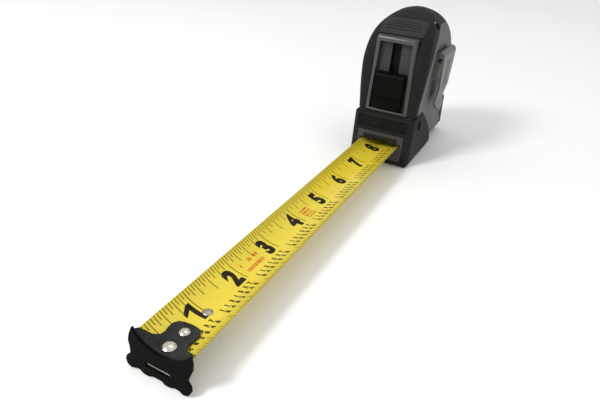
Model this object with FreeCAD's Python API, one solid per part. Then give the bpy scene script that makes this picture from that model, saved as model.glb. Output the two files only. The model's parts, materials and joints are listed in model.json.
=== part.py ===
import FreeCAD, Part
import math
import os

# Tape measure, one inch blade, 25 ft long. All sizes in mm.
# The case stands on its flat base with the mouth facing -Y and the belt clip on +X.
# The origin is the centre of the base.

# Case, as level slices: height, half width, front, back, front corner radius, back corner radius
BODY_SLICES = (
    (0.0, 16.6, -35.0, 37.4, 3.5, 4.0),
    (6.0, 17.0, -36.0, 38.4, 3.5, 5.0),
    (20.0, 17.1, -36.1, 38.0, 3.5, 6.0),
    (32.0, 17.3, -36.2, 36.4, 3.5, 7.0),
    (42.0, 18.2, -36.3, 33.8, 3.5, 8.0),
    (52.0, 18.8, -36.3, 30.4, 3.6, 8.0),
    (60.0, 18.9, -36.1, 26.4, 4.0, 8.0),
    (66.0, 18.5, -35.0, 22.6, 4.8, 9.0),
    (71.0, 17.9, -33.2, 19.4, 6.0, 10.0),
    (76.0, 16.6, -29.4, 15.6, 7.5, 10.5),
    (79.8, 14.4, -23.6, 12.0, 9.0, 10.0),
    (82.6, 11.4, -16.6, 8.4, 8.5, 8.5),
    (84.6, 7.4, -9.6, 4.6, 6.0, 6.0),
    (85.7, 3.0, -4.4, 1.2, 2.4, 2.4),
)
FRONT_Y = -36.3
RIM_SKIN = 1.6
RIM_INNER_X = 12.7
SIDE_FACE_X = 17.6
SIDE_DISC_R = 38.4
SIDE_DISC_Y = 6.6
SIDE_DISC_Z = 43.0
SIDE_PANEL_R = 30.0
INNER_HALF_WIDTH = 13.4
REEL_Y = -1.0
REEL_Z = 46.0
CHAMBER_R = 28.9

# Nose
NOSE_HALF_WIDTH = 18.2
NOSE_FRONT_Y = -39.3
NOSE_BACK_Y = 9.0
NOSE_CORNER_R = 5.0
NOSE_TOP_Z = 30.5
NOSE_CORE_HALF = 15.8
MOUTH_HALF_WIDTH = 12.4
GUIDE_HALF_WIDTH = 13.9
GUIDE_TOP_Z = 18.8
MOUTH_BOTTOM_Z = 6.2
MOUTH_TOP_Z = 14.0

# Blade
BLADE_Z = 8.5
BLADE_THICK = 0.2
BLADE_ARC_R = 17.5
BLADE_HALF_ANGLE = 41.5
BLADE_FLAT_HALF = 12.7
BLADE_TIP_Y = -238.7
BLADE_INNER_Y = -11.0
FEED_R = 37.25
FEED_Y = -10.0
COIL_R = 27.7
DRUM_R = 17.3

# Hook and its rivets
HOOK_Y = -240.0
HOOK_THICK = 1.1
HOOK_FLOAT = 1.2
HOOK_LEAN = 8.0
HOOK_PIVOT_Z = 13.0
RIVET_R = 1.0
RIVET_YS = (-236.2, -228.0)
INCH_RIVET_Y = -214.6

# Lock
WINDOW_TOP_HALF = 11.4
WINDOW_BOTTOM_HALF = 12.7
WINDOW_BACK_Y = -30.4
WINDOW_BOTTOM_Z = 30.0
WINDOW_TOP_Z = 74.0
RECESS_TOP_HALF = 9.1
RECESS_BOTTOM_HALF = 10.3
RECESS_BOTTOM_Z = 32.0
RECESS_TOP_Z = 71.0
BEZEL_FRONT_Y = -37.0
RAIL_FRONT_Y = -33.6
RAIL_BACK_Y = -32.3
LOCK_SLOT_HALF = 2.7
LOCK_HALF = 8.2
LOCK_BOTTOM_Z = 33.0
LOCK_TOP_Z = 54.0

# Reel and power spring
POST_R = 3.5
SPRING_THICK = 0.25
SPRING_TURNS = 11

# Belt clip
CLIP_GAP = 4.4
CLIP_THICK = 1.1
CLIP_Y = -4.0
CLIP_HOOP_Z = 62.6

# Case screws: Y, Z and where the head seats in X
SCREWS = ((-24.4, 23.0, 15.25), (-14.0, 78.4, 12.2), (31.0, 14.5, 15.0))
CLIP_SCREW_Z = 57.4
CLIP_HEAD_X = 13.5

os.makedirs("parts", exist_ok=True)


def vec(x, y, z):
    return FreeCAD.Vector(x, y, z)


def box(x0, x1, y0, y1, z0, z1):
    return Part.makeBox(x1 - x0, y1 - y0, z1 - z0, vec(x0, y0, z0))


def rod_x(radius, x0, x1, y, z):
    return Part.makeCylinder(radius, x1 - x0, vec(x0, y, z), vec(1, 0, 0))


def rod_y(radius, y0, y1, x, z):
    return Part.makeCylinder(radius, y1 - y0, vec(x, y0, z), vec(0, 1, 0))


def rod_z(radius, z0, z1, x, y):
    return Part.makeCylinder(radius, z1 - z0, vec(x, y, z0), vec(0, 0, 1))


def slab_x(points, x0, x1):
    """Side outline in Y and Z, given thickness along X."""
    outline = [vec(x0, y, z) for y, z in points]
    face = Part.Face(Part.makePolygon(outline + outline[:1]))
    return face.extrude(vec(x1 - x0, 0, 0))


def slab_y(points, y0, y1):
    """Front outline in X and Z, given thickness along Y."""
    outline = [vec(x, y0, z) for x, z in points]
    face = Part.Face(Part.makePolygon(outline + outline[:1]))
    return face.extrude(vec(0, y1 - y0, 0))


def slab_z(points, z0, z1):
    """Plan outline in X and Y, given thickness along Z."""
    outline = [vec(x, y, z0) for x, y in points]
    face = Part.Face(Part.makePolygon(outline + outline[:1]))
    return face.extrude(vec(0, 0, z1 - z0))


def spline_edge(points):
    curve = Part.BSplineCurve()
    curve.interpolate(points)
    return curve.toShape()


def mirrored(shape):
    return shape.mirror(vec(0, 0, 0), vec(1, 0, 0))


def fillet_where(shape, radius, test):
    edges = [edge for edge in shape.Edges if test(edge)]
    return shape.makeFillet(radius, edges)


def save(name, shape):
    solids = shape.Solids
    result = solids[0] if len(solids) == 1 else Part.makeCompound(solids)
    result.exportStep("parts/" + name + ".step")


def level_slice(z, half, front, back, front_r, back_r):
    """Rounded rectangle at one height of the case."""
    corners = (
        (half, front, front_r, -90.0),
        (half, back, back_r, 0.0),
        (-half, back, back_r, 90.0),
        (-half, front, front_r, 180.0),
    )
    ends = []
    arcs = []
    for x, y, r, start in corners:
        centre_x = x - math.copysign(r, x)
        centre_y = y + (r if y == front else -r)
        on_arc = []
        for turn in (start, start + 45.0, start + 90.0):
            a = math.radians(turn)
            on_arc.append(vec(centre_x + r * math.cos(a), centre_y + r * math.sin(a), z))
        arcs.append(Part.Arc(on_arc[0], on_arc[1], on_arc[2]).toShape())
        ends.append((on_arc[0], on_arc[2]))
    edges = []
    for number in range(4):
        edges.append(arcs[number])
        edges.append(Part.makeLine(ends[number][1], ends[(number + 1) % 4][0]))
    return Part.Wire(edges)


def body_loft(inset):
    """The case's outer form, or the same form set in evenly by inset."""
    wires = []
    for z, half, front, back, front_r, back_r in BODY_SLICES:
        drop = inset * min(1.0, max(0.0, (z - 60.0) / 22.0))
        wires.append(
            level_slice(
                z - drop,
                max(1.2, half - inset),
                front + inset,
                back - inset,
                max(1.0, front_r - inset),
                max(1.0, back_r - inset),
            )
        )
    return Part.makeLoft(wires, True, False)


# Outer form of the case
envelope = body_loft(0.0)

nose_outline = [
    (NOSE_FRONT_Y, 2.2),
    (NOSE_FRONT_Y, NOSE_TOP_Z - 3.5),
    (FRONT_Y - 0.6, NOSE_TOP_Z),
    (-20.0, NOSE_TOP_Z),
    (NOSE_BACK_Y - 5.0, 12.0),
    (NOSE_BACK_Y, 4.0),
    (NOSE_BACK_Y, 0.0),
    (NOSE_FRONT_Y + 2.2, 0.0),
]
nose_front = [
    (16.2, 0.0),
    (17.4, 0.7),
    (NOSE_HALF_WIDTH, 2.2),
    (NOSE_HALF_WIDTH, 21.5),
    (17.7, 27.0),
    (17.2, NOSE_TOP_Z + 0.1),
]
nose_front = nose_front + [(-x, z) for x, z in reversed(nose_front)]
nose_block = slab_x(nose_outline, -20.0, 20.0).common(slab_y(nose_front, -45.0, 20.0))
nose_plan = box(-20.0, 20.0, NOSE_FRONT_Y, 20.0, -1.0, 40.0)
nose_plan = fillet_where(
    nose_plan.common(box(-NOSE_HALF_WIDTH, NOSE_HALF_WIDTH, -50.0, 30.0, -1.0, 40.0)),
    NOSE_CORNER_R,
    lambda edge: abs(edge.CenterOfMass.y - NOSE_FRONT_Y) < 0.01 and edge.BoundBox.ZLength > 30.0,
)
nose_block = nose_block.common(nose_plan)
nose_core = box(-NOSE_CORE_HALF, NOSE_CORE_HALF, -37.4, NOSE_BACK_Y + 1.0, 1.8, 50.0)
nose_band = box(-NOSE_CORE_HALF + 1.2, NOSE_CORE_HALF - 1.2, -38.4, -30.0, 20.8, 28.0)
mouth_seat = box(-GUIDE_HALF_WIDTH, GUIDE_HALF_WIDTH, -41.0, -37.0, 3.4, GUIDE_TOP_Z)

# Rubber nose, wrapped round the front, the underside and both cheeks
nose_bumper = nose_block.cut(nose_core).cut(nose_band).cut(mouth_seat)
nose_bumper = nose_bumper.cut(box(-20, 20, -41, -30, 29.0, 40))
band_half = NOSE_CORE_HALF - 1.2
nose_bumper = nose_bumper.cut(box(-band_half, band_half, -41.0, -38.4, 20.8, 28.0))
nose_bumper = nose_bumper.cut(rod_x(3.0, 14.0, 20.0, SCREWS[0][0], SCREWS[0][1]))
save("nose_bumper", nose_bumper)

# Rear foot
foot_outline = [
    (34.0, 0.0),
    (39.5, 0.0),
    (41.6, 2.2),
    (41.6, 8.5),
    (38.6, 24.0),
    (36.4, 25.4),
    (34.2, 22.0),
]
rear_foot = slab_x(foot_outline, -16.8, 16.8)
low_corner = [(11.5, -0.1), (20.0, -0.1), (20.0, 6.5), (17.6, 6.5)]
chamfer = slab_y(low_corner, NOSE_BACK_Y, 50.0)
chamfers = chamfer.fuse(mirrored(chamfer))
rear_foot = rear_foot.cut(chamfers)
rear_foot = fillet_where(
    rear_foot,
    1.6,
    lambda edge: abs(abs(edge.CenterOfMass.x) - 16.8) < 0.2
    and edge.CenterOfMass.y > 38.0
    and edge.BoundBox.ZMin > 6.0,
)
for groove_z in (9.0, 12.5, 16.0, 19.5):
    rear_foot = rear_foot.cut(box(-12.0, 12.0, 41.1 - 0.19 * (groove_z - 8.5), 45.0, groove_z, groove_z + 1.2))
save("rear_foot", rear_foot)

# Grip pad on the shoulder above the lock
grip_zone = slab_x([(-38.0, 75.4), (-30.0, 74.4), (-20.0, 81.0), (-27.0, 89.0)], -12.4, 12.4)
top_grip = body_loft(-0.45).cut(body_loft(1.2)).common(grip_zone)
for groove_y, groove_z in ((-28.9, 76.9), (-27.2, 78.0), (-25.5, 79.1), (-23.7, 80.2)):
    top_grip = top_grip.cut(rod_x(0.42, -10.0, 10.0, groove_y, groove_z))
save("top_grip", top_grip)
grip_seat = body_loft(-2.0).cut(body_loft(1.2)).common(grip_zone)

# Rubber rims over the left and right edges
window_outline = [
    (-WINDOW_BOTTOM_HALF, WINDOW_BOTTOM_Z),
    (WINDOW_BOTTOM_HALF, WINDOW_BOTTOM_Z),
    (WINDOW_TOP_HALF, WINDOW_TOP_Z),
    (-WINDOW_TOP_HALF, WINDOW_TOP_Z),
]
window = slab_y(window_outline, -42.0, WINDOW_BACK_Y)
rim_zone = box(RIM_INNER_X, 25.0, -50.0, 50.0, 10.0, 76.0).cut(box(0.0, 25.0, 0.0, 50.0, 0.0, 26.0))
rim_zone = rim_zone.cut(rod_x(SIDE_DISC_R, RIM_INNER_X - 1.0, 25.0, SIDE_DISC_Y, SIDE_DISC_Z))
rim_shell = envelope.cut(body_loft(RIM_SKIN))
right_bumper = rim_shell.common(rim_zone).cut(nose_block).cut(rear_foot).cut(grip_seat).cut(window)
left_bumper = rim_shell.common(mirrored(rim_zone)).cut(nose_block).cut(rear_foot).cut(grip_seat).cut(window)
save("right_bumper", right_bumper)
save("left_bumper", left_bumper)

# Case halves
core = envelope.fuse(nose_block.common(nose_core.fuse(nose_band)))
chamber = rod_x(CHAMBER_R, -INNER_HALF_WIDTH, INNER_HALF_WIDTH, REEL_Y, REEL_Z)
washer_seat = rod_x(9.0, -14.1, 14.1, REEL_Y, REEL_Z)
lower_chamber = slab_x(
    [(-28.0, 3.4), (30.0, 3.4), (32.0, 8.0), (32.0, 30.0), (28.6, 46.0), (-26.0, 34.0)],
    -INNER_HALF_WIDTH,
    INNER_HALF_WIDTH,
)
# The mouth is a curved slit: its lip follows the underside of the blade
mouth_zone = box(-MOUTH_HALF_WIDTH, MOUTH_HALF_WIDTH, -42.0, -27.0, MOUTH_BOTTOM_Z, MOUTH_TOP_Z)
tunnel = mouth_zone.common(rod_y(BLADE_ARC_R + 0.6, -42.0, -27.0, 0.0, BLADE_Z + BLADE_ARC_R))
tunnel = tunnel.fuse(box(-6.6, 6.6, -42.0, -27.0, MOUTH_BOTTOM_Z, BLADE_Z + 3.0))
rivet_notch = box(-4.5, 4.5, -42.0, -27.0, MOUTH_TOP_Z - 1.0, MOUTH_TOP_Z + 1.1)
lock_pocket = box(-11.0, 11.0, -33.6, -27.0, MOUTH_TOP_Z - 2.0, 34.0)
core = core.cut(chamber).cut(washer_seat).cut(lower_chamber)
for y, z, seat_x in SCREWS:
    boss = rod_x(3.2, -13.6, seat_x, y, z).common(envelope)
    core = core.fuse(boss.cut(rod_x(CHAMBER_R - 0.3, -16, 16, REEL_Y, REEL_Z)))
side_panel = rod_x(SIDE_PANEL_R, SIDE_FACE_X, 25.0, SIDE_DISC_Y - 2.0, REEL_Z)
side_panel = side_panel.common(box(0, 25, -60, 60, 14.0, 100))
takes_away = [
    tunnel,
    rivet_notch,
    lock_pocket,
    window,
    nose_block.cut(nose_core).cut(nose_band),
    nose_bumper,
    rear_foot,
    chamfers,
    mouth_seat,
    grip_seat,
    right_bumper,
    left_bumper,
    side_panel,
    mirrored(side_panel),
    rod_x(POST_R, -16.0, 16.0, REEL_Y, REEL_Z),
    rod_x(1.3, 12.0, 20.0, CLIP_Y, CLIP_SCREW_Z),
    rod_x(2.6, 12.0, CLIP_HEAD_X + 1.25, CLIP_Y, CLIP_SCREW_Z),
]
for y, z, seat_x in SCREWS:
    takes_away.append(rod_x(1.25, -13.0, seat_x + 0.1, y, z))
    takes_away.append(rod_x(2.6, seat_x, 25.0, y, z))
for piece in takes_away:
    core = core.cut(piece)
# A shadow groove along the seam of the nose band
core = core.cut(box(-0.2, 0.2, -39.0, -38.1, 20.5, 29.0))
case_right = core.common(box(0, 30, -60, 60, -5, 100))
case_left = core.common(box(-30, 0, -60, 60, -5, 100))
case_right = max(case_right.Solids, key=lambda solid: solid.Volume)
case_left = max(case_left.Solids, key=lambda solid: solid.Volume)
save("case_right", case_right)
save("case_left", case_left)

# Case screws, pan heads with cross recesses
screws = []
for y, z, seat_x in SCREWS:
    head = rod_x(2.4, seat_x, seat_x + 1.4, y, z)
    shank = rod_x(1.2, -9.0, seat_x, y, z)
    cross = box(seat_x + 0.7, seat_x + 2.0, y - 1.5, y + 1.5, z - 0.3, z + 0.3)
    cross = cross.fuse(box(seat_x + 0.7, seat_x + 2.0, y - 0.3, y + 0.3, z - 1.5, z + 1.5))
    screws.append(head.fuse(shank).cut(cross))
save("case_screws", Part.makeCompound(screws))

# Lock bezel
bezel = slab_y(window_outline, BEZEL_FRONT_Y, WINDOW_BACK_Y)
bezel = fillet_where(
    bezel,
    1.6,
    lambda edge: abs(edge.CenterOfMass.y - BEZEL_FRONT_Y) < 0.01,
)
recess_outline = [
    (-RECESS_BOTTOM_HALF, RECESS_BOTTOM_Z),
    (RECESS_BOTTOM_HALF, RECESS_BOTTOM_Z),
    (RECESS_TOP_HALF, RECESS_TOP_Z),
    (-RECESS_TOP_HALF, RECESS_TOP_Z),
]
bezel = bezel.cut(slab_y(recess_outline, -40.0, -20.0))
bezel = bezel.cut(lock_pocket)
save("lock_bezel", bezel)

# Lock track, two rails with a slot between them
track = slab_y(recess_outline, RAIL_FRONT_Y, RAIL_BACK_Y)
track = track.cut(box(-LOCK_SLOT_HALF, LOCK_SLOT_HALF, -40.0, -30.0, RECESS_BOTTOM_Z + 2.0, 80.0))
save("lock_track", track)

# Thumb lock, a proud wedge with a finger ledge near its foot
lock_side = [
    (RAIL_FRONT_Y - 0.3, LOCK_BOTTOM_Z),
    (-37.6, LOCK_BOTTOM_Z),
    (-38.6, 39.6),
    (-39.6, 40.4),
    (-39.8, LOCK_TOP_Z - 1.2),
    (-38.8, LOCK_TOP_Z),
    (RAIL_FRONT_Y - 0.3, LOCK_TOP_Z),
]
thumb_lock = slab_x(lock_side, -LOCK_HALF, LOCK_HALF)
stem = box(-2.3, 2.3, RAIL_FRONT_Y - 0.4, -31.9, 37.0, 50.0)
thumb_lock = thumb_lock.fuse(stem)
save("thumb_lock", thumb_lock)

# Forked slider behind the track and the two pads that pinch the blade
slider = box(-8.7, 8.7, -31.9, -30.9, 31.0, 51.5)
for side in (-1, 1):
    x0, x1 = sorted((side * 6.5, side * 8.7))
    slider = slider.fuse(box(x0, x1, -31.9, -30.9, 15.0, 31.5))
slider = slider.cut(rod_y(1.8, -33.0, -30.0, 0.0, 34.5))
save("lock_slider", slider)
pads = []
for side in (-1, 1):
    x0, x1 = sorted((side * 6.6, side * 8.6))
    pad = box(x0, x1, -32.9, -29.9, 11.0, 15.0)
    under = rod_y(BLADE_ARC_R - BLADE_THICK - 0.12, -40.0, -20.0, 0.0, BLADE_Z + BLADE_ARC_R)
    pads.append(pad.common(under))
save("brake_pads", Part.makeCompound(pads))

# Mouth insert round the blade, and the soft stop the hook lands on
mouth_guide = box(-GUIDE_HALF_WIDTH, GUIDE_HALF_WIDTH, -39.3, -37.45, 3.4, GUIDE_TOP_Z).cut(tunnel).cut(rivet_notch)
mouth_guide = fillet_where(
    mouth_guide,
    0.6,
    lambda edge: abs(edge.CenterOfMass.y + 39.3) < 0.01 and abs(edge.CenterOfMass.x) > 13.0,
)
save("mouth_guide", mouth_guide)
stop_outline = [
    (-10.0, 14.1),
    (-4.7, 14.1),
    (-4.7, 15.3),
    (4.7, 15.3),
    (4.7, 14.1),
    (10.0, 14.1),
    (10.0, 16.6),
    (-10.0, 16.6),
]
shock_pad = slab_y(stop_outline, -40.3, -39.3)
save("shock_pad", shock_pad)

# Reel: fixed centre post, drum with its cover, washers and power spring
post = rod_x(POST_R, -15.9, 15.9, REEL_Y, REEL_Z)
post = post.cut(box(-11.0, 11.0, REEL_Y - 0.35, REEL_Y + 0.35, REEL_Z, REEL_Z + 4.0))
save("centre_post", post)

drum = rod_x(DRUM_R, -13.2, 12.0, REEL_Y, REEL_Z)
drum = drum.cut(rod_x(DRUM_R - 1.4, -12.0, 12.1, REEL_Y, REEL_Z))
drum = drum.cut(rod_x(POST_R + 0.08, -14.0, 13.0, REEL_Y, REEL_Z))
save("reel_drum", drum)
cover = rod_x(DRUM_R, 12.0, 13.2, REEL_Y, REEL_Z)
cover = cover.cut(rod_x(POST_R + 0.08, 11.0, 14.0, REEL_Y, REEL_Z))
save("drum_cover", cover)
washers = []
for side in (-1, 1):
    x0, x1 = sorted((side * 13.35, side * 13.95))
    washer = rod_x(8.0, x0, x1, REEL_Y, REEL_Z)
    washers.append(washer.cut(rod_x(POST_R + 0.02, x0, x1, REEL_Y, REEL_Z)))
save("reel_washers", Part.makeCompound(washers))


def spiral_band(r0, r1, turns, thick, x0, x1, start):
    """Flat spiral strip wound about the reel axis."""
    steps = int(turns * 16)
    inner = []
    outer = []
    for step in range(steps + 1):
        share = step / steps
        angle = start + 2.0 * math.pi * turns * share
        radius = r0 + (r1 - r0) * share
        inner.append(vec(x0, REEL_Y + radius * math.cos(angle), REEL_Z + radius * math.sin(angle)))
        wide = radius + thick
        outer.append(vec(x0, REEL_Y + wide * math.cos(angle), REEL_Z + wide * math.sin(angle)))
    inside = spline_edge(inner)
    outside = spline_edge(outer)
    ends = [Part.makeLine(inner[0], outer[0]), Part.makeLine(inner[-1], outer[-1])]
    face = Part.Face(Part.Wire([inside, ends[1], outside, ends[0]]))
    return face.extrude(vec(x1 - x0, 0, 0))


save("power_spring", spiral_band(4.1, 15.3, SPRING_TURNS, SPRING_THICK, -11.4, 11.4, 0.0))

coil = rod_x(COIL_R, -BLADE_FLAT_HALF, BLADE_FLAT_HALF, REEL_Y, REEL_Z)
coil = coil.cut(rod_x(DRUM_R + 0.02, -13.0, 13.0, REEL_Y, REEL_Z))
save("blade_coil", coil)


def blade_section(y, z, tilt, half_angle):
    """Closed cross section of the blade, cupped by half_angle, its length axis tilted up by tilt."""
    half_length = math.radians(BLADE_HALF_ANGLE) * BLADE_ARC_R
    radius = half_length / math.radians(half_angle)
    rise = (math.sin(math.radians(tilt)), math.cos(math.radians(tilt)))

    def place(r, angle):
        a = math.radians(angle)
        up = radius - r * math.cos(a)
        return vec(r * math.sin(a), y - rise[0] * up, z + rise[1] * up)

    low = [place(radius, a) for a in (-half_angle, 0.0, half_angle)]
    high = [place(radius - BLADE_THICK, a) for a in (half_angle, 0.0, -half_angle)]
    under = Part.Arc(low[0], low[1], low[2]).toShape()
    over = Part.Arc(high[0], high[1], high[2]).toShape()
    edge_a = Part.makeLine(low[2], high[0])
    edge_b = Part.makeLine(high[2], low[0])
    return Part.Wire([under, edge_a, over, edge_b])


# Blade from its tip to just inside the mouth
tip_section = Part.Face(blade_section(BLADE_TIP_Y, BLADE_Z, 0.0, BLADE_HALF_ANGLE))
blade_strip = tip_section.extrude(vec(0, BLADE_INNER_Y - BLADE_TIP_Y, 0))
for rivet_y in RIVET_YS + (INCH_RIVET_Y,):
    blade_strip = blade_strip.cut(rod_z(RIVET_R + 0.03, 0.0, 20.0, 0.0, rivet_y))
save("blade_strip", blade_strip)

# Blade inside the case, flattening as it climbs round the back on to the coil
feed_centre_z = BLADE_Z + FEED_R
sections = [blade_section(BLADE_INNER_Y + 0.05, BLADE_Z, 0.0, BLADE_HALF_ANGLE)]
for turn, cup in ((8.0, 33.0), (20.0, 20.0), (34.0, 8.0), (48.0, 2.0), (62.0, 1.0), (76.0, 1.0), (88.0, 1.0)):
    a = math.radians(turn)
    at_y = FEED_Y + FEED_R * math.sin(a)
    at_z = feed_centre_z - FEED_R * math.cos(a)
    sections.append(blade_section(at_y, at_z, turn, cup))
blade_feed = Part.makeLoft(sections, True, False)
save("blade_feed", blade_feed)

# Blade end: reinforcing plate underneath, two hook rivets and the rivet at the inch line
arc_axis_z = BLADE_Z + BLADE_ARC_R


def cupped(r_in, r_out, outline):
    """Sheet that follows the blade's cup, cut to a plan outline."""
    ring = rod_y(r_out, -260.0, -200.0, 0.0, arc_axis_z).cut(rod_y(r_in, -261.0, -199.0, 0.0, arc_axis_z))
    return ring.common(slab_z(outline, 0.0, BLADE_Z + 12.0))


plate_half = [(5.0, -238.4), (6.0, -236.0), (5.0, -212.0), (3.0, -210.5)]
plate_outline = plate_half + [(-x, y) for x, y in reversed(plate_half)]
end_plate = cupped(BLADE_ARC_R + 0.01, BLADE_ARC_R + 0.36, plate_outline)
for rivet_y in RIVET_YS + (INCH_RIVET_Y,):
    end_plate = end_plate.cut(rod_z(RIVET_R + 0.02, 0.0, 20.0, 0.0, rivet_y))
save("blade_end_plate", end_plate)


def domed_rivet(y, base_z, head_r, head_h, foot_z):
    """Round headed rivet: dome above base_z, shank down to foot_z and a flat clenched foot."""
    shank = rod_z(RIVET_R, foot_z, base_z + 0.1, 0.0, y)
    sphere_r = (head_r ** 2 + head_h ** 2) / (2.0 * head_h)
    dome = Part.makeSphere(sphere_r, vec(0.0, y, base_z + head_h - sphere_r))
    dome = dome.common(rod_z(head_r, base_z, base_z + head_h + 1.0, 0.0, y))
    foot = rod_z(RIVET_R + 0.7, foot_z - 0.5, foot_z, 0.0, y)
    return shank.fuse(dome).fuse(foot)


blade_top_z = BLADE_Z + BLADE_THICK
tongue_top_z = blade_top_z + 0.06 + 0.9
plate_low_z = BLADE_Z - 0.40
hook_rivets = [
    domed_rivet(RIVET_YS[0], tongue_top_z + 0.38, 2.5, 1.0, plate_low_z),
    domed_rivet(RIVET_YS[1], tongue_top_z + 0.30, 2.0, 0.85, plate_low_z),
]
save("hook_rivets", Part.makeCompound(hook_rivets))
save("inch_rivet", domed_rivet(INCH_RIVET_Y, blade_top_z + 0.14, 2.0, 0.7, plate_low_z))

# Hook: cupped tongue on top of the blade, bent down into a scalloped face
tongue_half = [
    (0.0, HOOK_Y - 0.9),
    (11.9, HOOK_Y - 0.9),
    (11.0, HOOK_Y + 1.9),
    (9.4, HOOK_Y + 3.2),
    (7.2, HOOK_Y + 4.2),
    (5.6, HOOK_Y + 6.0),
    (5.2, HOOK_Y + 8.2),
    (5.6, HOOK_Y + 10.6),
    (5.5, HOOK_Y + 12.8),
    (4.6, HOOK_Y + 14.8),
    (2.8, HOOK_Y + 16.0),
    (0.0, HOOK_Y + 16.5),
]
tongue_outline = tongue_half + [(-x, y) for x, y in reversed(tongue_half[1:-1])]
tongue_outer_r = BLADE_ARC_R - BLADE_THICK - 0.06
tongue = cupped(tongue_outer_r - 0.9, tongue_outer_r, tongue_outline)
for rivet_y in RIVET_YS:
    slot_box = box(-RIVET_R - 0.06, RIVET_R + 0.06, rivet_y - HOOK_FLOAT, rivet_y, 0.0, 20.0)
    slot = slot_box.fuse(rod_z(RIVET_R + 0.06, 0.0, 20.0, 0.0, rivet_y))
    slot = slot.fuse(rod_z(RIVET_R + 0.06, 0.0, 20.0, 0.0, rivet_y - HOOK_FLOAT))
    tongue = tongue.cut(slot)

face_half = [
    (11.9, 15.4),
    (12.7, 12.6),
    (12.9, 10.2),
    (12.0, 7.8),
    (11.5, 5.6),
    (12.9, 4.2),
    (13.3, 2.6),
    (12.5, 0.9),
    (10.6, 0.2),
    (8.9, 0.9),
    (7.2, 1.1),
    (5.4, 0.3),
    (3.4, 0.2),
    (1.9, 1.0),
]
brim = []
for number in range(13):
    x = 11.9 - 11.9 * number / 6.0
    brim.append((x, arc_axis_z - math.sqrt((tongue_outer_r - 0.9) ** 2 - x * x)))
face_outline = face_half[:1] + brim[1:-1] + [(-x, z) for x, z in face_half] + face_half[:0:-1]
face_plate = slab_y(face_outline, HOOK_Y - HOOK_THICK, HOOK_Y)
light_slot = box(-4.4, 4.4, HOOK_Y - 3.0, HOOK_Y + 1.0, 3.5, 5.1)
light_slot = light_slot.fuse(rod_y(0.8, HOOK_Y - 3.0, HOOK_Y + 1.0, -4.4, 4.3))
light_slot = light_slot.fuse(rod_y(0.8, HOOK_Y - 3.0, HOOK_Y + 1.0, 4.4, 4.3))
face_plate = face_plate.cut(light_slot)
face_plate.rotate(vec(0, HOOK_Y, HOOK_PIVOT_Z), vec(1, 0, 0), -HOOK_LEAN)
hook = face_plate.fuse(tongue)
save("hook", hook)

# Belt clip: inner leg screwed to the case, hooped over at the top, outer leg hanging down as a spring
clip_in = SIDE_FACE_X
clip_out = SIDE_FACE_X + CLIP_GAP
hoop_x = 0.5 * (clip_in + clip_out + CLIP_THICK)


def hoop(radius):
    """Points over the top of the clip, from the inner leg to the outer leg."""
    points = []
    for number in range(9):
        a = math.pi * (1.0 - number / 8.0)
        points.append((hoop_x + radius * math.cos(a), CLIP_HOOP_Z + radius * math.sin(a)))
    return points


outer_hoop = hoop(hoop_x - clip_in)
inner_hoop = hoop(hoop_x - clip_in - CLIP_THICK)
outer_leg = [
    (clip_out + CLIP_THICK, 43.0),
    (clip_out + CLIP_THICK - 1.5, 34.6),
    (clip_out + CLIP_THICK + 0.4, 30.2),
    (clip_out + 0.4, 29.9),
    (clip_out - 1.5, 34.4),
    (clip_out, 42.8),
]
clip_side = outer_hoop + outer_leg + inner_hoop[::-1] + [(clip_in + CLIP_THICK, 48.0), (clip_in, 48.0)]
clip_sheet = slab_y(clip_side, -20.0, 20.0)
clip_half = [
    (12.6, 68.0),
    (13.2, 63.0),
    (12.8, 57.0),
    (11.4, 50.0),
    (10.2, 44.0),
    (9.8, 40.0),
    (9.7, 36.5),
    (8.6, 33.0),
    (5.4, 30.5),
]
clip_edge = [vec(10.0, CLIP_Y + half, z) for half, z in clip_half]
clip_edge = clip_edge + [vec(10.0, CLIP_Y, 29.7)]
clip_edge = clip_edge + [vec(10.0, CLIP_Y - half, z) for half, z in reversed(clip_half)]
clip_outline = Part.Wire([spline_edge(clip_edge), Part.makeLine(clip_edge[-1], clip_edge[0])])
belt_clip = clip_sheet.common(Part.Face(clip_outline).extrude(vec(20.0, 0.0, 0.0)))
belt_clip = belt_clip.cut(rod_x(1.35, 10.0, 20.0, CLIP_Y, CLIP_SCREW_Z))
save("belt_clip", belt_clip)

# Clip screw, put in from inside the case and threaded into the inner leg
clip_head = rod_x(2.5, CLIP_HEAD_X, CLIP_HEAD_X + 1.2, CLIP_Y, CLIP_SCREW_Z)
clip_head = clip_head.fuse(rod_x(1.25, CLIP_HEAD_X + 1.1, SIDE_FACE_X + CLIP_THICK + 0.8, CLIP_Y, CLIP_SCREW_Z))
cross = box(CLIP_HEAD_X - 1.0, CLIP_HEAD_X + 0.7, CLIP_Y - 1.6, CLIP_Y + 1.6, CLIP_SCREW_Z - 0.3, CLIP_SCREW_Z + 0.3)
cross = cross.fuse(
    box(CLIP_HEAD_X - 1.0, CLIP_HEAD_X + 0.7, CLIP_Y - 0.3, CLIP_Y + 0.3, CLIP_SCREW_Z - 1.6, CLIP_SCREW_Z + 1.6)
)
save("clip_screw", clip_head.cut(cross))
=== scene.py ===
import json
import math
import random

import bmesh
import bpy
from mathutils import Matrix, Vector


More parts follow.
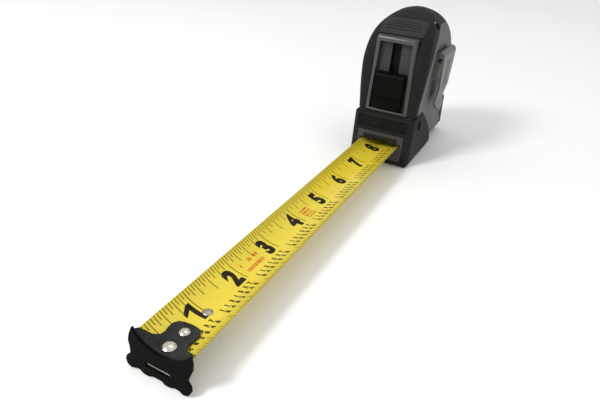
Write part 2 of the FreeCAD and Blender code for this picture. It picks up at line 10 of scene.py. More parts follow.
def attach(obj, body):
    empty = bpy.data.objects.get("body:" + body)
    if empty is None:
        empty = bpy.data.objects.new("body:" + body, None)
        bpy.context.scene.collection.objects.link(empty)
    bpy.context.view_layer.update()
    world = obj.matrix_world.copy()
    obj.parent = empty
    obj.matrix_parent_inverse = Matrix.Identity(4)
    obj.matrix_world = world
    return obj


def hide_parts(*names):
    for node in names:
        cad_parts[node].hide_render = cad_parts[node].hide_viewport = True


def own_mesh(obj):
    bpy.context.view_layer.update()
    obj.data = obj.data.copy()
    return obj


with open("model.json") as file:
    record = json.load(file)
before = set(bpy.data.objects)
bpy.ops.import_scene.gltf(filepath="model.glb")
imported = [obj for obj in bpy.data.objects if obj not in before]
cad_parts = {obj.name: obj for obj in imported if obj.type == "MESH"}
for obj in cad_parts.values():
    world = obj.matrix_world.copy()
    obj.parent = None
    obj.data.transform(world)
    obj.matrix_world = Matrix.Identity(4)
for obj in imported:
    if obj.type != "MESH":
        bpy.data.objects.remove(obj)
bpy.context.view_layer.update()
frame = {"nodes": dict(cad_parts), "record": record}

MM = 0.001
INCH = 25.4

# Lengths are in mm and turns in degrees, unless a name says otherwise.

# Blade
CUP_RADIUS = 17.5
BLADE_THICK = 0.2
BLADE_HALF_WIDTH = 12.67
BLADE_VALLEY_Z = 8.5
BLADE_TIP_Y = -238.7
BLADE_INNER_Y = -11.0
ZERO_Y = -240.0
BLADE_CORNER = 1.6
BLADE_CORNER_SLOPE = 0.6
BLADE_GRID = (36, 76)

# Ink on the blade
PRINT_LIFT = 0.008
PRINT_THICK = 0.012
PRINT_CUT_STEP = 0.9
PRINT_CUTS_EACH_SIDE = 14
LAST_INCH = 8
SIXTEENTHS_PAST_LAST = 8
EDGE_GAP = 0.1
TICK_LENGTHS = {1: 3.0, 2: 4.6, 4: 6.6, 8: 8.6}
TICK_WIDTH = 0.34
FAR_TICK_WIDTH = 0.30
FAR_TICK_SHARE = 0.4
INCH_LINE_WIDTH = 0.38
INCH_LINE_END = 1.0
FAR_INCH_LINE_START = 8.8
FAR_INCH_LINE_WIDTH = 0.34
FRACTION_HEIGHT = 2.1
FRACTION_WEIGHT = 0.06
FRACTION_TOP = 3.9
FRACTION_BAR = (5.25, 5.55)
FRACTION_BAR_WIDTH = 1.7
FRACTION_BOTTOM = 6.9
TWO_FIGURES_NARROW = 0.78
NUMERAL_HEIGHT = 9.4
NUMERAL_WEIGHT = 0.062
NUMERAL_NARROW = 0.92
NUMERAL_ACROSS = -3.2
NUMERAL_SETBACK = 4.3
ONE_SHIFT = 0.8
ONE_OUTLINE = (
    (0.0, -4.7),
    (2.1, -4.7),
    (2.1, 4.7),
    (0.2, 4.7),
    (-3.4, 2.5),
    (-3.4, 0.5),
    (0.0, 2.4),
)

# Red marks on the blade: two rows of bars, then a block of rows and columns
MARK_SEED = 7
MARK_ROWS = (-4.4, -0.6)
MARK_ROW_INCHES = (2.14, 2.60)
MARK_GAP = 0.45
MARK_MISSING_SHARE = 0.4
BLOCK_ROWS = 4
BLOCK_COLUMNS = 5
BLOCK_ACROSS = -4.2
BLOCK_ROW_STEP = 1.75
BLOCK_COLUMN_STEP = 1.35
BLOCK_INCH = 4.18

# Case and clip; a patch or band is its middle and half its width
CLIP_Y = -4.0
KNURL_TURN = 35.0
KNURL_PATCH_X = (24.0, 1.6)
KNURL_PATCH_Y = (CLIP_Y, 5.0)
KNURL_PATCH_Z = (50.0, 9.0)
KNURL_DEPTH = 0.6
# Span along Y where the painted sheen on the hook's tongue fades in.
HOOK_SHEEN_Y = (-240.3, -239.8)
BLADE_SHADE_X = (4.5, 12.0)
CHEEK_FROM_X = (15.1, 15.3)
CHEEK_FROM_Y = (-33.0, -32.4)
NOSE_BAND_Y = (-37.9, -38.1)
NOSE_BAND_Z = (24.4, 4.2)
LOCK_WELL_X = (0.0, 12.0)
LOCK_WELL_Y = (-30.4, 0.2)
LOCK_WELL_Z = (52.0, 21.5)
CHEEK_Y = 6.6
CHEEK_Z = 43.0
CHEEK_R = 38.4
REEL_AXIS_Y = -1.0
REEL_AXIS_Z = 46.0

# Rounded edges: piece, width and segments
ROUNDED_EDGES = (
    ("hook", 0.34, 3),
    ("thumb_lock", 0.45, 3),
    ("lock_bezel", 0.30, 3),
    ("belt_clip", 0.22, 3),
    ("nose_bumper", 0.50, 3),
    ("rear_foot", 0.50, 3),
    ("mouth_guide", 0.22, 2),
    ("lock_track", 0.12, 2),
    ("top_grip", 0.25, 2),
)
ROUNDED_FROM_ANGLE = 32.0
MERGE_DISTANCE = 0.002
FLAT_ANGLE = 0.6

# Camera, floor and lights; lights are placed in metres and given watts
CAMERA_PLACE = (88.1, -342.2, 142.4)
CAMERA_TURN = (29.5, 27.6, 3.1)
SENSOR_WIDTH = 36.0
FOCAL_LENGTH = 33.7
CAMERA_SHIFT = (46.0 / 600.0, -18.0 / 600.0)
CAMERA_CLIP_M = (0.01, 20.0)
FLOOR_SIZE_M = 4.0
LIGHT_AIM_M = (0.0, -0.10, 0.0)
LIGHTS = (
    ("key", (-0.50, -1.00, 0.85), 0.30, 11.5),
    ("fill", (0.9, -0.9, 0.6), 0.9, 0.8),
    ("top", (0.1, 0.25, 1.3), 1.0, 2.0),
)
WORLD_STRENGTH = 0.70

scene = bpy.context.scene


# ---------------------------------------------------------------- finishes

def new_finish(name, rough=0.5, metal=0.0):
    finish = bpy.data.materials.new(name)
    finish.use_nodes = True
    nodes = finish.node_tree.nodes
    shader = nodes["Principled BSDF"]
    shader.inputs["Roughness"].default_value = rough
    shader.inputs["Metallic"].default_value = metal
    return finish, finish.node_tree, shader


def set_input(finish, name, value):
    finish.node_tree.nodes["Principled BSDF"].inputs[name].default_value = value


def object_place(tree, stretch=(1.0, 1.0, 1.0)):
    place = tree.nodes.new("ShaderNodeTexCoord")
    mapping = tree.nodes.new("ShaderNodeMapping")
    mapping.inputs["Scale"].default_value = stretch
    tree.links.new(place.outputs["Object"], mapping.inputs["Vector"])
    return mapping.outputs["Vector"]


def axes_of(tree, place):
    spread = tree.nodes.new("ShaderNodeSeparateXYZ")
    tree.links.new(place, spread.inputs["Vector"])
    return spread.outputs


def speckle(tree, place, grain_mm, detail=2.0, rough=0.5):
    noise = tree.nodes.new("ShaderNodeTexNoise")
    noise.inputs["Scale"].default_value = 1.0 / (grain_mm * MM)
    noise.inputs["Detail"].default_value = detail
    noise.inputs["Roughness"].default_value = rough
    tree.links.new(place, noise.inputs["Vector"])
    return noise.outputs["Fac"]


def graded(tree, factor, stops):
    ramp = tree.nodes.new("ShaderNodeValToRGB")
    while len(ramp.color_ramp.elements) < len(stops):
        ramp.color_ramp.elements.new(0.5)
    for element, (place, colour) in zip(ramp.color_ramp.elements, stops):
        element.position = place
        element.color = tuple(colour) + (1.0,)
    tree.links.new(factor, ramp.inputs["Fac"])
    return ramp.outputs["Color"]


def grey(value):
    return (value, value, value)


def blended(tree, factor, first, second):
    mix = tree.nodes.new("ShaderNodeMix")
    mix.data_type = "RGBA"
    tree.links.new(factor, mix.inputs["Factor"])
    for socket, colour in (("A", first), ("B", second)):
        chosen = [s for s in mix.inputs if s.name == socket and s.type == "RGBA"][0]
        if isinstance(colour, bpy.types.NodeSocket):
            tree.links.new(colour, chosen)
        else:
            chosen.default_value = tuple(colour) + (1.0,)
    return [s for s in mix.outputs if s.type == "RGBA"][0]


def raised(tree, shader, height, depth_mm, under=None):
    bump = tree.nodes.new("ShaderNodeBump")
    bump.inputs["Strength"].default_value = 1.0
    bump.inputs["Distance"].default_value = depth_mm * MM
    tree.links.new(height, bump.inputs["Height"])
    if under is not None:
        tree.links.new(under, bump.inputs["Normal"])
    tree.links.new(bump.outputs["Normal"], shader.inputs["Normal"])
    return bump.outputs["Normal"]


def moulded(name, colour, rough, grain_mm, grain_depth, haze):
    """Moulded plastic: fine spark texture, faint cloudy wear in colour and gloss."""
    finish, tree, shader = new_finish(name, rough)
    place = object_place(tree)
    clouds = speckle(tree, place, 9.0, 4.0)
    fine = speckle(tree, place, grain_mm, 2.0)
    dark = tuple(c * (1.0 - haze) for c in colour)
    light = tuple(min(1.0, c * (1.0 + haze)) for c in colour)
    shade = graded(tree, clouds, [(0.30, dark), (0.70, light)])
    tree.links.new(shade, shader.inputs["Base Color"])
    gloss = graded(tree, clouds, [(0.25, grey(rough * 0.85)), (0.75, grey(min(1.0, rough * 1.15)))])
    tree.links.new(gloss, shader.inputs["Roughness"])
    raised(tree, shader, fine, grain_depth)
    return finish


def rubbery(name, colour):
    """Soft overmoulded rubber: matt, slightly dusty, with a pebbled skin."""
    finish, tree, shader = new_finish(name, 0.72)
    shader.inputs["Specular IOR Level"].default_value = 0.35
    shader.inputs["Sheen Weight"].default_value = 0.04
    shader.inputs["Sheen Roughness"].default_value = 0.45
    place = object_place(tree)
    dust = speckle(tree, place, 5.0, 6.0, 0.65)
    pebble = speckle(tree, place, 0.55, 1.0)
    fine = speckle(tree, place, 0.16, 1.0)
    light = tuple(c * 1.35 for c in colour)
    tree.links.new(graded(tree, dust, [(0.35, colour), (0.78, light)]), shader.inputs["Base Color"])
    under = raised(tree, shader, pebble, 0.05)
    raised(tree, shader, fine, 0.012, under)
    return finish


def inked(name, colour, rough, scuff):
    """Printing ink: a smooth film with small scuffs along the blade."""
    finish, tree, shader = new_finish(name, rough)
    shader.inputs["Specular IOR Level"].default_value = 0.15
    place = object_place(tree)
    clouds = speckle(tree, place, 4.0, 5.0)
    streak = speckle(tree, object_place(tree, (1.0, 0.12, 1.0)), 0.5, 3.0)
    light = tuple(min(1.0, c * (1.0 + scuff) + 0.02 * scuff) for c in colour)
    shade = graded(tree, streak, [(0.45, colour), (0.80, light)])
    tree.links.new(shade, shader.inputs["Base Color"])
    gloss = graded(tree, clouds, [(0.3, grey(rough * 0.8)), (0.8, grey(min(1.0, rough * 1.3)))])
    tree.links.new(gloss, shader.inputs["Roughness"])
    raised(tree, shader, speckle(tree, place, 0.3, 2.0), 0.008)
    return finish


def bare_steel(name, colour, rough, stretch=(1.0, 1.0, 1.0)):
    """Bare or plated metal with fine drawn lines."""
    finish, tree, shader = new_finish(name, rough, 1.0)
    place = object_place(tree, stretch)
    lines = speckle(tree, place, 0.2, 3.0)
    dark = tuple(c * 0.82 for c in colour)
    shade = graded(tree, lines, [(0.3, dark), (0.7, colour)])
    tree.links.new(shade, shader.inputs["Base Color"])
    gloss = graded(tree, lines, [(0.3, grey(rough * 0.8)), (0.7, grey(rough * 1.3))])
    tree.links.new(gloss, shader.inputs["Roughness"])
    raised(tree, shader, lines, 0.004)
    return finish


bezel_plastic = moulded("bezel_plastic", (0.040, 0.042, 0.041), 0.30, 0.25, 0.008, 0.08)
guide_plastic = moulded("guide_plastic", (0.029, 0.030, 0.028), 0.50, 0.25, 0.012, 0.10)
grip_plastic = moulded("grip_plastic", (0.031, 0.032, 0.031), 0.55, 0.30, 0.03, 0.10)
rail_plastic = moulded("rail_plastic", (0.042, 0.043, 0.042), 0.50, 0.20, 0.010, 0.10)
button_plastic = moulded("button_plastic", (0.0026, 0.0030, 0.0022), 0.42, 0.25, 0.014, 0.15)
slider_plastic = moulded("slider_plastic", (0.0030, 0.0033, 0.0030), 0.60, 0.25, 0.010, 0.15)
nylon = moulded("natural_nylon", (0.52, 0.51, 0.46), 0.48, 0.30, 0.010, 0.06)
case_rubber = rubbery("case_rubber", (0.0105, 0.0112, 0.0105))
pad_rubber = rubbery("pad_rubber", (0.012, 0.012, 0.011))
rivet_plate = bare_steel("rivet_plate", (0.80, 0.75, 0.66), 0.20)
screw_plate = bare_steel("screw_plate", (0.42, 0.41, 0.39), 0.30)
dull_rivet = bare_steel("dull_rivet", (0.50, 0.44, 0.36), 0.32)
spring_steel = bare_steel("spring_steel", (0.36, 0.36, 0.36), 0.30, (0.05, 1.0, 1.0))
print_black = inked("print_black", (0.012, 0.008, 0.002), 0.45, 0.5)
print_brown = inked("print_brown", (0.075, 0.050, 0.004), 0.45, 0.5)
print_red = inked("print_red", (0.62, 0.10, 0.012), 0.42, 0.15)
for dull in (pad_rubber, case_rubber, rail_plastic):
    set_input(dull, "Specular IOR Level", 0.10)
for glossless in (button_plastic, slider_plastic, grip_plastic):
    set_input(glossless, "Specular IOR Level", 0.05)


def diagonal_ribs(tree, place, turn):
    """Fine ribs in the plane of the clip, turned about X."""
    mapping = tree.nodes.new("ShaderNodeMapping")
    mapping.inputs["Rotation"].default_value = (math.radians(turn), 0.0, 0.0)
    tree.links.new(place, mapping.inputs["Vector"])
    ribs = tree.nodes.new("ShaderNodeTexWave")
    ribs.wave_type = "BANDS"
    ribs.bands_direction = "Y"
    ribs.wave_profile = "TRI"
    ribs.inputs["Scale"].default_value = 130.0
    tree.links.new(mapping.outputs["Vector"], ribs.inputs["Vector"])
    return ribs.outputs["Fac"]


def combined(tree, kind, first, second):
    step = tree.nodes.new("ShaderNodeMath")
    step.operation = kind
    for number, value in enumerate((first, second)):
        if isinstance(value, bpy.types.NodeSocket):
            tree.links.new(value, step.inputs[number])
        else:
            step.inputs[number].default_value = value
    return step.outputs["Value"]


def within(tree, value, middle, half, edge):
    """One inside middle plus or minus half, falling to nought over edge."""
    away = combined(tree, "ABSOLUTE", combined(tree, "SUBTRACT", value, middle * MM), 0.0)
    drop = tree.nodes.new("ShaderNodeMapRange")
    drop.inputs["From Min"].default_value = (half + edge) * MM
    drop.inputs["From Max"].default_value = half * MM
    tree.links.new(away, drop.inputs["Value"])
    return drop.outputs["Result"]


def rising(tree, value, start, end):
    """Nought below start, one above end, in mm."""
    slope = tree.nodes.new("ShaderNodeMapRange")
    slope.inputs["From Min"].default_value = start * MM
    slope.inputs["From Max"].default_value = end * MM
    tree.links.new(value, slope.inputs["Value"])
    return slope.outputs["Result"]


def make_hook_black():
    """Blackened steel: dead black on the face, with painted sheen lightening the top of the tongue.
    """
    finish, tree, shader = new_finish("hook_black", 0.36)
    shader.inputs["Specular IOR Level"].default_value = 0.04
    place = object_place(tree)
    clouds = speckle(tree, place, 4.0, 5.0)
    scuffs = speckle(tree, place, 0.9, 4.0, 0.7)
    axes = axes_of(tree, place)
    black = graded(
        tree, scuffs, [(0.55, (0.0016, 0.0018, 0.0014)), (0.80, (0.0050, 0.0052, 0.0045))]
    )
    # Painted sheen: the upward-facing top of the tongue is made lighter grey.
    tongue_sheen = graded(
        tree, clouds, [(0.35, (0.020, 0.022, 0.020)), (0.75, (0.036, 0.039, 0.036))]
    )
    on_top = rising(tree, axes["Y"], *HOOK_SHEEN_Y)
    tree.links.new(blended(tree, on_top, black, tongue_sheen), shader.inputs["Base Color"])
    gloss = graded(tree, clouds, [(0.3, grey(0.30)), (0.8, grey(0.46))])
    tree.links.new(gloss, shader.inputs["Roughness"])
    raised(tree, shader, speckle(tree, place, 0.3, 2.0), 0.010)
    return finish


hook_black = make_hook_black()


def make_clip_coat():
    """Grey coated spring steel with diamond knurling down the middle of the outer leg; painted
    shade darkens the knurl's grooves.
    """
    finish, tree, shader = new_finish("clip_coat", 0.40, 0.25)
    place = object_place(tree)
    clouds = speckle(tree, place, 4.0, 5.0)
    axes = axes_of(tree, place)
    knurl = combined(
        tree,
        "MULTIPLY",
        diagonal_ribs(tree, place, KNURL_TURN),
        diagonal_ribs(tree, place, -KNURL_TURN),
    )
    patch = combined(
        tree,
        "MULTIPLY",
        within(tree, axes["Y"], *KNURL_PATCH_Y, 0.3),
        within(tree, axes["Z"], *KNURL_PATCH_Z, 0.4),
    )
    patch = combined(tree, "MULTIPLY", patch, within(tree, axes["X"], *KNURL_PATCH_X, 0.1))
    height = combined(tree, "MULTIPLY", knurl, patch)
    base = graded(tree, clouds, [(0.30, (0.095, 0.097, 0.090)), (0.75, (0.125, 0.127, 0.118))])
    # Painted shade: the grooves between the knurl's ridges are made near black within the patch.
    ridge = combined(tree, "MINIMUM", combined(tree, "MULTIPLY", height, 2.2), 1.0)
    groove_shade = combined(tree, "SUBTRACT", patch, ridge)
    colour = blended(tree, groove_shade, base, (0.012, 0.012, 0.011))
    tree.links.new(colour, shader.inputs["Base Color"])
    gloss = graded(tree, clouds, [(0.3, grey(0.34)), (0.8, grey(0.48))])
    tree.links.new(gloss, shader.inputs["Roughness"])
    under = raised(tree, shader, speckle(tree, place, 0.3, 2.0), 0.008)
    raised(tree, shader, height, KNURL_DEPTH, under)
    return finish


clip_coat = make_clip_coat()


def make_blade_lacquer():
    """Yellow lacquer under a thin clear film, with long drawn-out hairlines, a little random grime,
    and painted shade darkening the far (+X) edge.
    """
    finish, tree, shader = new_finish("blade_lacquer", 0.34)
    shader.inputs["Specular IOR Level"].default_value = 0.35
    shader.inputs["Coat Weight"].default_value = 0.15
    shader.inputs["Coat Roughness"].default_value = 0.18
    place = object_place(tree)
    hairline = speckle(tree, object_place(tree, (1.0, 0.02, 1.0)), 0.35, 3.0)
    grime = speckle(tree, place, 14.0, 5.0, 0.6)
    yellow = graded(tree, grime, [(0.30, (0.68, 0.54, 0.030)), (0.75, (0.74, 0.59, 0.046))])
    worn = graded(tree, hairline, [(0.55, grey(0.0)), (0.85, grey(0.35))])
    colour = blended(tree, worn, yellow, (0.58, 0.46, 0.03))
    axes = axes_of(tree, place)
    # Painted shade: the lacquer darkens towards the blade's far (+X) edge.
    far_edge_shade = combined(tree, "MULTIPLY", rising(tree, axes["X"], *BLADE_SHADE_X), 0.80)
    colour = blended(tree, far_edge_shade, colour, (0.38, 0.31, 0.025))
    tree.links.new(colour, shader.inputs["Base Color"])
    gloss = graded(tree, hairline, [(0.3, grey(0.28)), (0.8, grey(0.44))])
    tree.links.new(gloss, shader.inputs["Roughness"])
    raised(tree, shader, hairline, 0.004)
    return finish


blade_lacquer = make_blade_lacquer()


def make_coil_edges():
    """Edges of the wound blade: close rings of yellow and dark about the reel's axis."""
    finish, tree, shader = new_finish("coil_edges", 0.42)
    mapping = tree.nodes.new("ShaderNodeMapping")
    place = tree.nodes.new("ShaderNodeTexCoord")
    mapping.inputs["Location"].default_value = (0.0, -REEL_AXIS_Y * MM, -REEL_AXIS_Z * MM)
    tree.links.new(place.outputs["Object"], mapping.inputs["Vector"])
    rings = tree.nodes.new("ShaderNodeTexWave")
    rings.wave_type = "RINGS"
    rings.rings_direction = "X"
    rings.inputs["Scale"].default_value = 700.0
    rings.inputs["Distortion"].default_value = 0.6
    tree.links.new(mapping.outputs["Vector"], rings.inputs["Vector"])
    tree.links.new(
        graded(tree, rings.outputs["Fac"], [(0.2, (0.30, 0.22, 0.02)), (0.6, (0.78, 0.60, 0.05))]),
        shader.inputs["Base Color"],
    )
    raised(tree, shader, rings.outputs["Fac"], 0.05)
    return finish


coil_edges = make_coil_edges()


def make_case_shell():
    """Case plastic: dark top and nose, lighter flat cheeks (partly a lighter side panel, partly
    painted light on the lit side faces), and near-black painted shade on the wall behind the lock.
    """
    finish, tree, shader = new_finish("case_shell", 0.50)
    shader.inputs["Specular IOR Level"].default_value = 0.12
    place = object_place(tree)
    clouds = speckle(tree, place, 9.0, 4.0)
    axes = axes_of(tree, place)
    dark = graded(
        tree, clouds, [(0.30, (0.0065, 0.0070, 0.0065)), (0.70, (0.0095, 0.0100, 0.0095))]
    )
    # The cheeks' lighter colour is partly a lighter side panel and partly painted light where the
    # side faces catch the lamp.
    light = graded(
        tree, clouds, [(0.30, (0.115, 0.118, 0.112)), (0.70, (0.135, 0.138, 0.131))]
    )
    outward = combined(tree, "ABSOLUTE", axes["X"], 0.0)
    cheek = combined(
        tree,
        "MULTIPLY",
        rising(tree, outward, *CHEEK_FROM_X),
        rising(tree, axes["Y"], *CHEEK_FROM_Y),
    )
    across = combined(tree, "SUBTRACT", axes["Y"], CHEEK_Y * MM)
    upward = combined(tree, "SUBTRACT", axes["Z"], CHEEK_Z * MM)
    reach = combined(
        tree,
        "ADD",
        combined(tree, "MULTIPLY", across, across),
        combined(tree, "MULTIPLY", upward, upward),
    )
    inside = rising(tree, combined(tree, "SQRT", reach, 0.0), CHEEK_R + 0.1, CHEEK_R - 0.1)
    low = rising(tree, axes["Z"], CHEEK_Z + 0.1, CHEEK_Z - 0.1)
    cheek = combined(tree, "MULTIPLY", cheek, combined(tree, "MAXIMUM", inside, low))
    shell_tone_and_light = blended(tree, cheek, dark, light)
    band = combined(
        tree,
        "MULTIPLY",
        rising(tree, axes["Y"], *NOSE_BAND_Y),
        within(tree, axes["Z"], *NOSE_BAND_Z, 0.1),
    )
    shell_tone_and_light = blended(tree, band, shell_tone_and_light, (0.0045, 0.0050, 0.0043))
    # Painted shade: the wall behind the lock, deep in its recess, is made near black.
    lock_well_shade = combined(
        tree,
        "MULTIPLY",
        within(tree, axes["Y"], *LOCK_WELL_Y, 0.1),
        within(tree, axes["X"], *LOCK_WELL_X, 0.1),
    )
    lock_well_shade = combined(tree, "MULTIPLY", lock_well_shade, within(tree, axes["Z"], *LOCK_WELL_Z, 0.2))
    colour = blended(tree, lock_well_shade, shell_tone_and_light, (0.003, 0.003, 0.003))
    tree.links.new(colour, shader.inputs["Base Color"])
    gloss = graded(tree, clouds, [(0.25, grey(0.46)), (0.75, grey(0.60))])
    tree.links.new(gloss, shader.inputs["Roughness"])
    raised(tree, shader, speckle(tree, place, 0.35, 2.0), 0.03)
    return finish


case_shell = make_case_shell()

NODE_FINISH = {
    "case_left": case_shell,
    "case_right": case_shell,
    "left_bumper": case_rubber,
    "right_bumper": case_rubber,
    "nose_bumper": case_rubber,
    "rear_foot": case_rubber,
    "top_grip": grip_plastic,
    "lock_bezel": bezel_plastic,
    "lock_track": rail_plastic,
    "mouth_guide": guide_plastic,
    "shock_pad": pad_rubber,
    "case_screws": screw_plate,
    "centre_post": nylon,
    "reel_washers": nylon,
    "belt_clip": clip_coat,
    "clip_screw": screw_plate,
    "thumb_lock": button_plastic,
    "lock_slider": slider_plastic,
    "brake_pads": pad_rubber,
    "reel_drum": nylon,
    "drum_cover": nylon,
    "power_spring": spring_steel,
    "blade_coil": coil_edges,
    "blade_feed": blade_lacquer,
    "blade_strip": blade_lacquer,
    "blade_end_plate": spring_steel,
    "hook_rivets": rivet_plate,
    "inch_rivet": dull_rivet,
    "hook": hook_black,
}
for node, finish in NODE_FINISH.items():
    mesh = frame["nodes"][node].data
    mesh.materials.clear()
    mesh.materials.append(finish)

NODE_BODY = {
    node: body
    for body, members in frame["record"]["behaviour"]["bodies"].items()
    for node in members
}


# ---------------------------------------------------------------- making pieces

def add_piece(name, shape, finish, body, smooth_angle):
    mesh = bpy.data.meshes.new(name)
    shape.to_mesh(mesh)
    shape.free()
    mesh.materials.append(finish)
    mesh.shade_smooth()
    mesh.set_sharp_from_angle(angle=math.radians(smooth_angle))
    piece = bpy.data.objects.new(name, mesh)
    scene.collection.objects.link(piece)
    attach(piece, body)
    return piece


def rounded_copy(node, width_mm, segments):
    """The CAD piece again, with its sharp edges rounded over."""
    shape = bmesh.new()
    shape.from_mesh(frame["nodes"][node].data)
    bmesh.ops.remove_doubles(shape, verts=shape.verts, dist=MERGE_DISTANCE * MM)
    bmesh.ops.dissolve_limit(
        shape,
        angle_limit=math.radians(FLAT_ANGLE),
        verts=shape.verts,
        edges=shape.edges,
        delimit=set(),
    )
    piece = add_piece(node + "_rounded", shape, NODE_FINISH[node], NODE_BODY[node], 40.0)
    soften = piece.modifiers.new("soften", "BEVEL")
    soften.width = width_mm * MM
    soften.segments = segments
    soften.limit_method = "ANGLE"
    soften.angle_limit = math.radians(ROUNDED_FROM_ANGLE)
    soften.harden_normals = True
    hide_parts(node)


# ---------------------------------------------------------------- printed blade

def on_cup(across, along, lift=0.0):
    """A point above the blade's printed face, from its place on the flat blade."""
    turn = across / CUP_RADIUS
    radius = CUP_RADIUS - BLADE_THICK - lift
    up = BLADE_VALLEY_Z + CUP_RADIUS - radius * math.cos(turn)
    return Vector((radius * math.sin(turn), along, up)) * MM


def draws_in(piece):
    """Gives the piece its own copy of its mesh; the drawn-out blade's shortening towards the mouth
    as the hook comes home is not made here.
    """
    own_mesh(piece)


def make_blade():
    shape = bmesh.new()
    bmesh.ops.create_grid(shape, x_segments=BLADE_GRID[0], y_segments=BLADE_GRID[1], size=1.0)
    length = BLADE_INNER_Y - BLADE_TIP_Y
    for vert in shape.verts:
        along = BLADE_TIP_Y + length * (vert.co.y + 1.0) / 2.0
        across = BLADE_HALF_WIDTH * vert.co.x
        corner = max(0.0, abs(across) - BLADE_HALF_WIDTH + BLADE_CORNER)
        if vert.co.y < -0.999:
            along += BLADE_CORNER_SLOPE * corner
        vert.co = on_cup(across, along)
    bmesh.ops.recalc_face_normals(shape, faces=shape.faces)
    if sum(face.normal.z for face in shape.faces) < 0:
        bmesh.ops.reverse_faces(shape, faces=shape.faces)
    bmesh.ops.solidify(shape, geom=shape.faces, thickness=BLADE_THICK * MM)
    bmesh.ops.recalc_face_normals(shape, faces=shape.faces)
    blade = add_piece("printed_blade", shape, blade_lacquer, "case", 50.0)
    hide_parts("blade_strip")
    draws_in(blade)


def flat_bar(shape, across0, across1, along, width):
    """A printed line across the blade, on the flat."""
    place = Matrix.Translation(((across0 + across1) / 2.0, along, 0.0))
    size = Matrix.Diagonal((abs(across1 - across0), width, 1.0, 1.0))
    bmesh.ops.create_grid(shape, x_segments=1, y_segments=1, size=0.5, matrix=place @ size)


def flat_text(shape, words, height, weight, narrow, across, along):
    """Numerals on the flat, standing with their heads to the -X edge and read towards the case."""
    curve = bpy.data.curves.new("numeral", "FONT")
    curve.body = words
    curve.align_x = "CENTER"
    curve.align_y = "CENTER"
    curve.offset = weight
    curve.resolution_u = 3
    letter = bpy.data.objects.new("numeral", curve)
    scene.collection.objects.link(letter)
    bpy.context.view_layer.update()
    mesh = bpy.data.meshes.new_from_object(letter)
    start = len(shape.verts)
    shape.from_mesh(mesh)
    shape.verts.ensure_lookup_table()
    fresh = [shape.verts[i] for i in range(start, len(shape.verts))]
    low = Vector(min(v.co[i] for v in fresh) for i in range(2))
    high = Vector(max(v.co[i] for v in fresh) for i in range(2))
    middle = (low + high) / 2.0
    scale = height / (high.y - low.y)
    for vert in fresh:
        reading = (vert.co.x - middle.x) * scale * narrow
        upward = (vert.co.y - middle.y) * scale
        vert.co = Vector((across - upward, along + reading, 0.0))
    bpy.data.objects.remove(letter)
    bpy.data.curves.remove(curve)
    bpy.data.meshes.remove(mesh)


def flat_shape(shape, corners, across, along):
    """A drawn numeral: its corners run along the reading direction and upward."""
    shape.faces.new(
        [shape.verts.new((across - upward, along + reading, 0.0)) for reading, upward in corners]
    )


def press_print(name, shape, finish):
    """Lays the flat artwork into the cup of the blade and gives it the thickness of ink."""
    bmesh.ops.remove_doubles(shape, verts=shape.verts, dist=0.004)
    for number in range(-PRINT_CUTS_EACH_SIDE, PRINT_CUTS_EACH_SIDE + 1):
        bmesh.ops.bisect_plane(
            shape,
            geom=shape.verts[:] + shape.edges[:] + shape.faces[:],
            plane_co=(number * PRINT_CUT_STEP, 0.0, 0.0),
            plane_no=(1.0, 0.0, 0.0),
        )
    for vert in shape.verts:
        vert.co = on_cup(vert.co.x, vert.co.y, PRINT_LIFT)
    shape.normal_update()
    turned = [face for face in shape.faces if face.normal.z < 0]
    bmesh.ops.reverse_faces(shape, faces=turned)
    artwork = add_piece(name, shape, finish, "case", 60.0)
    ink = artwork.modifiers.new("ink", "SOLIDIFY")
    ink.thickness = PRINT_THICK * MM
    ink.offset = 1.0
    draws_in(artwork)


def make_scale():
    """Lines, fractions and whole inches."""
    black = bmesh.new()
    brown = bmesh.new()
    near, far = -BLADE_HALF_WIDTH, BLADE_HALF_WIDTH
    for sixteenth in range(1, LAST_INCH * 16 + SIXTEENTHS_PAST_LAST):
        along = ZERO_Y + sixteenth * INCH / 16.0
        part = math.gcd(sixteenth, 16)
        if part == 16:
            flat_bar(brown, near + EDGE_GAP, INCH_LINE_END, along, INCH_LINE_WIDTH)
            flat_bar(brown, FAR_INCH_LINE_START, far - EDGE_GAP, along, FAR_INCH_LINE_WIDTH)
            continue
        reach = TICK_LENGTHS[part]
        flat_bar(brown, near + EDGE_GAP, near + reach, along, TICK_WIDTH)
        flat_bar(brown, far - FAR_TICK_SHARE * reach, far - EDGE_GAP, along, FAR_TICK_WIDTH)
        if part >= 2:
            top, bottom = sixteenth // part % (16 // part), 16 // part
            narrow = 1.0 if bottom < 10 else TWO_FIGURES_NARROW
            flat_text(black, str(top), FRACTION_HEIGHT, FRACTION_WEIGHT, 1.0, FRACTION_TOP, along)
            flat_bar(black, *FRACTION_BAR, along, FRACTION_BAR_WIDTH)
            flat_text(
                black, str(bottom), FRACTION_HEIGHT, FRACTION_WEIGHT, narrow, FRACTION_BOTTOM, along
            )
    for number in range(1, LAST_INCH + 1):
        along = ZERO_Y + number * INCH - NUMERAL_SETBACK
        if number == 1:
            flat_shape(black, ONE_OUTLINE, NUMERAL_ACROSS, along + ONE_SHIFT)
        else:
            flat_text(
                black,
                str(number),
                NUMERAL_HEIGHT,
                NUMERAL_WEIGHT,
                NUMERAL_NARROW,
                NUMERAL_ACROSS,
                along,
            )
    press_print("scale_print", black, print_black)
    press_print("line_print", brown, print_brown)


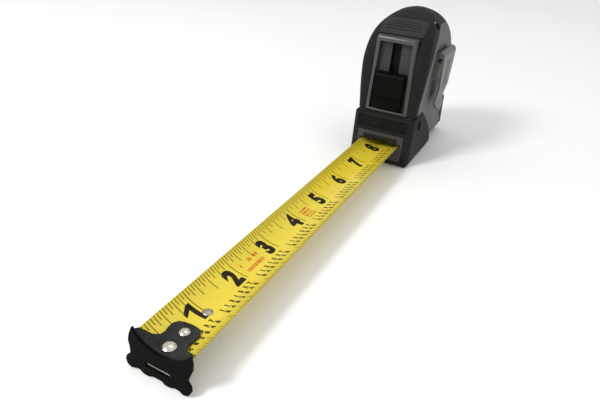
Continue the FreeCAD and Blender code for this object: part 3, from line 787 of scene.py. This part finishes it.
def make_unit_marks():
    """Plain red bars that spell nothing."""
    red = bmesh.new()
    draw = random.Random(MARK_SEED)
    first_inch, last_inch = MARK_ROW_INCHES
    for row, across in enumerate(MARK_ROWS):
        along = ZERO_Y + first_inch * INCH
        while along < ZERO_Y + last_inch * INCH:
            wide = draw.uniform(0.5, 1.1)
            tall = draw.uniform(1.5, 2.1)
            if row == 1 or draw.random() > MARK_MISSING_SHARE:
                flat_bar(red, across - tall / 2.0, across + tall / 2.0, along, wide)
            along += wide + MARK_GAP
    for row in range(BLOCK_ROWS):
        for column in range(BLOCK_COLUMNS):
            tall = draw.uniform(0.9, 1.4)
            across = BLOCK_ACROSS + row * BLOCK_ROW_STEP
            along = ZERO_Y + BLOCK_INCH * INCH + column * BLOCK_COLUMN_STEP
            wide = draw.uniform(0.6, 1.05)
            flat_bar(red, across - tall / 2.0, across + tall / 2.0, along, wide)
    press_print("unit_marks", red, print_red)


make_blade()
make_scale()
make_unit_marks()


# ---------------------------------------------------------------- rounded pieces

for node, width, segments in ROUNDED_EDGES:
    rounded_copy(node, width, segments)


# ---------------------------------------------------------------- camera, floor and light

def make_camera():
    lens = bpy.data.cameras.new("camera")
    lens.sensor_width = SENSOR_WIDTH
    lens.lens = FOCAL_LENGTH
    lens.shift_x, lens.shift_y = CAMERA_SHIFT
    lens.clip_start, lens.clip_end = CAMERA_CLIP_M
    camera = bpy.data.objects.new("camera", lens)
    scene.collection.objects.link(camera)
    azimuth, elevation, roll = (math.radians(a) for a in CAMERA_TURN)
    back = Vector(
        (
            math.sin(azimuth) * math.cos(elevation),
            -math.cos(azimuth) * math.cos(elevation),
            math.sin(elevation),
        )
    )
    level = Vector((math.cos(azimuth), math.sin(azimuth), 0.0))
    rise = back.cross(level)
    right = math.cos(roll) * level + math.sin(roll) * rise
    up = -math.sin(roll) * level + math.cos(roll) * rise
    turn = Matrix((right, up, back)).transposed().to_4x4()
    camera.matrix_world = Matrix.Translation(Vector(CAMERA_PLACE) * MM) @ turn
    scene.camera = camera


def make_floor():
    shape = bmesh.new()
    bmesh.ops.create_grid(shape, x_segments=2, y_segments=2, size=FLOOR_SIZE_M)
    mesh = bpy.data.meshes.new("floor")
    shape.to_mesh(mesh)
    shape.free()
    finish, tree, shader = new_finish("pale_floor", 0.6)
    place = object_place(tree)
    tone = speckle(tree, place, 300.0, 2.0)
    shade = graded(tree, tone, [(0.3, (0.90, 0.90, 0.89)), (0.7, (0.93, 0.93, 0.92))])
    tree.links.new(shade, shader.inputs["Base Color"])
    shader.inputs["Specular IOR Level"].default_value = 0.1
    mesh.materials.append(finish)
    floor = bpy.data.objects.new("floor", mesh)
    scene.collection.objects.link(floor)


def add_light(name, place, size, power):
    lamp = bpy.data.lights.new(name, "AREA")
    lamp.shape = "SQUARE"
    lamp.size = size
    lamp.energy = power
    light = bpy.data.objects.new(name, lamp)
    scene.collection.objects.link(light)
    light.location = place
    direction = Vector(LIGHT_AIM_M) - Vector(place)
    light.rotation_mode = "QUATERNION"
    light.rotation_quaternion = direction.to_track_quat("-Z", "Y")


make_camera()
make_floor()
for name, place, size, power in LIGHTS:
    add_light(name, place, size, power)

world = bpy.data.worlds.new("studio")
world.use_nodes = True
world.node_tree.nodes["Background"].inputs["Color"].default_value = (1.0, 1.0, 1.0, 1.0)
world.node_tree.nodes["Background"].inputs["Strength"].default_value = WORLD_STRENGTH
scene.world = world
scene.view_settings.view_transform = "Standard"
